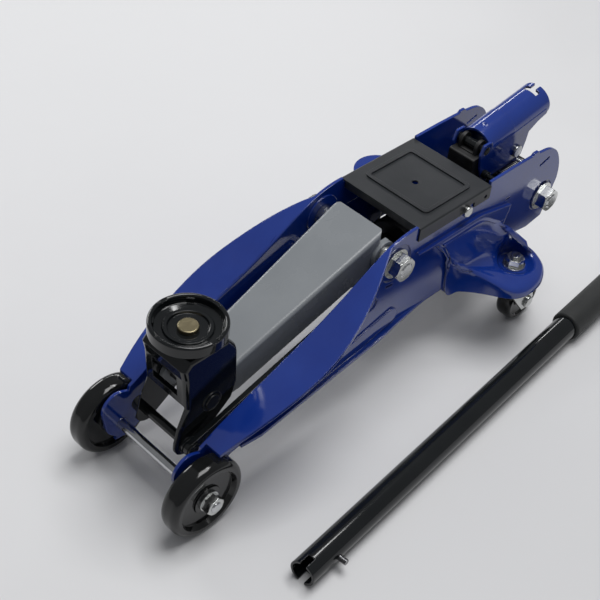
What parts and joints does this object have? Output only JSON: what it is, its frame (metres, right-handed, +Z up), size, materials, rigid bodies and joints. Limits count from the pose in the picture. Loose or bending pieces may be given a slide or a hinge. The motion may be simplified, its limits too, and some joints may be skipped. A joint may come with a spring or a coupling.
{
  "type": "trolley jack",
  "caption": "Low trolley jack: pressed side plates, parallel-link lift arm with swivel saddle, hydraulic ram, handle socket, swivel casters and a separate handle.",
  "frame": {"origin": "on the floor directly under the front axle, on the centre plane between the side plates", "axes": "+X from the front rollers towards the handle socket, +Y towards the right-hand side plate seen from the socket end looking forwards, +Z up"},
  "size_m": [0.5023, 0.2275, 0.1748],
  "materials": {
    "blue": "gloss blue enamel",
    "grey": "satin grey enamel",
    "black": "gloss black enamel",
    "cast": "black painted casting",
    "zinc": "bright zinc plate",
    "bright": "ground steel",
    "yellow_zinc": "yellow zinc plate",
    "roller": "hard black polymer",
    "tank": "black enamel",
    "spring": "black oiled steel",
    "plug": "oil-resistant rubber",
    "foam": "black foam sleeve"
  },
  "bodies": {
    "frame": {"side_plate_left": "blue", "side_plate_right": "blue", "front_axle": "bright", "axle_washers": "zinc", "axle_nuts": "zinc", "pivot_shaft": "bright", "pivot_washers": "zinc", "pivot_nuts": "zinc", "link_studs": "zinc", "cover_plate": "black", "cover_screws": "zinc", "cover_nuts": "zinc", "base_block": "cast", "reservoir_tube": "tank", "tank_cap": "cast", "ram_cylinder": "tank", "gland_nut": "cast", "filler_plug": "plug", "rear_bolt": "bright", "rear_washers": "zinc", "rear_nuts": "zinc", "rear_spacers": "zinc", "pivot_bar": "black", "spring_anchors": "zinc", "return_springs": "spring", "caster_races": "bright", "stem_bolts": "zinc", "stem_washers": "zinc", "stem_nuts": "zinc"},
    "arm": {"lift_arm": "grey", "arm_pivot_tube": "zinc", "ram_pin": "bright", "ram_pin_clips": "zinc"},
    "bracket": {"saddle_bracket": "black", "saddle_pin": "black", "link_pin": "black", "link_pin_caps": "black", "saddle_screw": "yellow_zinc", "saddle_nut": "zinc"},
    "links": {"link_rod_left": "black", "link_rod_right": "black"},
    "saddle": {"saddle_cup": "black"},
    "ram": {"ram_rod": "bright", "ram_piston": "bright"},
    "plunger": {"pump_plunger": "bright"},
    "socket": {"handle_socket": "blue", "pump_pin": "zinc", "spring_studs": "black"},
    "valve": {"release_valve": "bright"},
    "front_roller_left": {"front_wheel_left": "roller"},
    "front_roller_right": {"front_wheel_right": "roller"},
    "caster_left": {"caster_fork_left": "zinc", "caster_axle_left": "zinc"},
    "caster_right": {"caster_fork_right": "zinc", "caster_axle_right": "zinc"},
    "caster_roller_left": {"caster_wheel_left": "roller"},
    "caster_roller_right": {"caster_wheel_right": "roller"},
    "handle": {"handle_tube": "black", "handle_stub": "spring", "handle_grip": "foam"}
  },
  "joints": [
    {"name": "arm_hinge", "type": "hinge", "parent": "frame", "child": "arm", "pos_m": [0.19, 0, 0.124], "axis": [0, 1, 0], "range_deg": [0, 66]},
    {"name": "bracket_hinge", "type": "hinge", "parent": "arm", "child": "bracket", "pos_m": [0.031, 0, 0.079], "axis": [0, 1, 0], "range_deg": [-66, 0]},
    {"name": "link_hinge", "type": "hinge", "parent": "frame", "child": "links", "pos_m": [0.169, 0, 0.096], "axis": [0, 1, 0], "range_deg": [0, 66]},
    {"name": "saddle_swivel", "type": "hinge", "parent": "bracket", "child": "saddle", "pos_m": [0.0274, 0, 0.13], "axis": [0, 0, 1], "continuous": true},
    {"name": "ram_slide", "type": "slide", "parent": "frame", "child": "ram", "axis": [-1, 0, 0], "range_m": [0, 0.0541]},
    {"name": "socket_hinge", "type": "hinge", "parent": "frame", "child": "socket", "pos_m": [0.316, 0, 0.152], "axis": [0, -1, 0], "range_deg": [0, 30], "deforming": ["return_springs"]},
    {"name": "plunger_slide", "type": "slide", "parent": "frame", "child": "plunger", "axis": [0, 0, 1], "range_m": [0, 0.0233]},
    {"name": "valve_turn", "type": "hinge", "parent": "frame", "child": "valve", "pos_m": [0.39, 0.012, 0.084], "axis": [1, 0, 0], "range_deg": [0, 180]},
    {"name": "front_left_spin", "type": "hinge", "parent": "frame", "child": "front_roller_left", "pos_m": [0, -0.049, 0.0311], "axis": [0, 1, 0], "continuous": true},
    {"name": "front_right_spin", "type": "hinge", "parent": "frame", "child": "front_roller_right", "pos_m": [0, 0.049, 0.0311], "axis": [0, 1, 0], "continuous": true},
    {"name": "caster_left_swivel", "type": "hinge", "parent": "frame", "child": "caster_left", "pos_m": [0.323, -0.0575, 0.05], "axis": [0, 0, 1], "continuous": true},
    {"name": "caster_right_swivel", "type": "hinge", "parent": "frame", "child": "caster_right", "pos_m": [0.323, 0.0575, 0.05], "axis": [0, 0, 1], "continuous": true},
    {"name": "caster_left_spin", "type": "hinge", "parent": "caster_left", "child": "caster_roller_left", "pos_m": [0.342, -0.0575, 0.02], "axis": [0, 1, 0], "continuous": true},
    {"name": "caster_right_spin", "type": "hinge", "parent": "caster_right", "child": "caster_roller_right", "pos_m": [0.342, 0.0575, 0.02], "axis": [0, 1, 0], "continuous": true},
    {"name": "handle_lift_off", "type": "slide", "parent": "frame", "child": "handle", "axis": [0, 0, 1], "range_m": [0, 0.3]}
  ],
  "couplings": [
    {"joint": "bracket_hinge", "follows": "arm_hinge", "ratio": -1},
    {"joint": "link_hinge", "follows": "arm_hinge", "ratio": 1},
    {"joint": "ram_slide", "follows": "arm_hinge", "m_per_rad": 0.046965},
    {"joint": "plunger_slide", "follows": "socket_hinge", "m_per_rad": 0.0445}
  ]
}
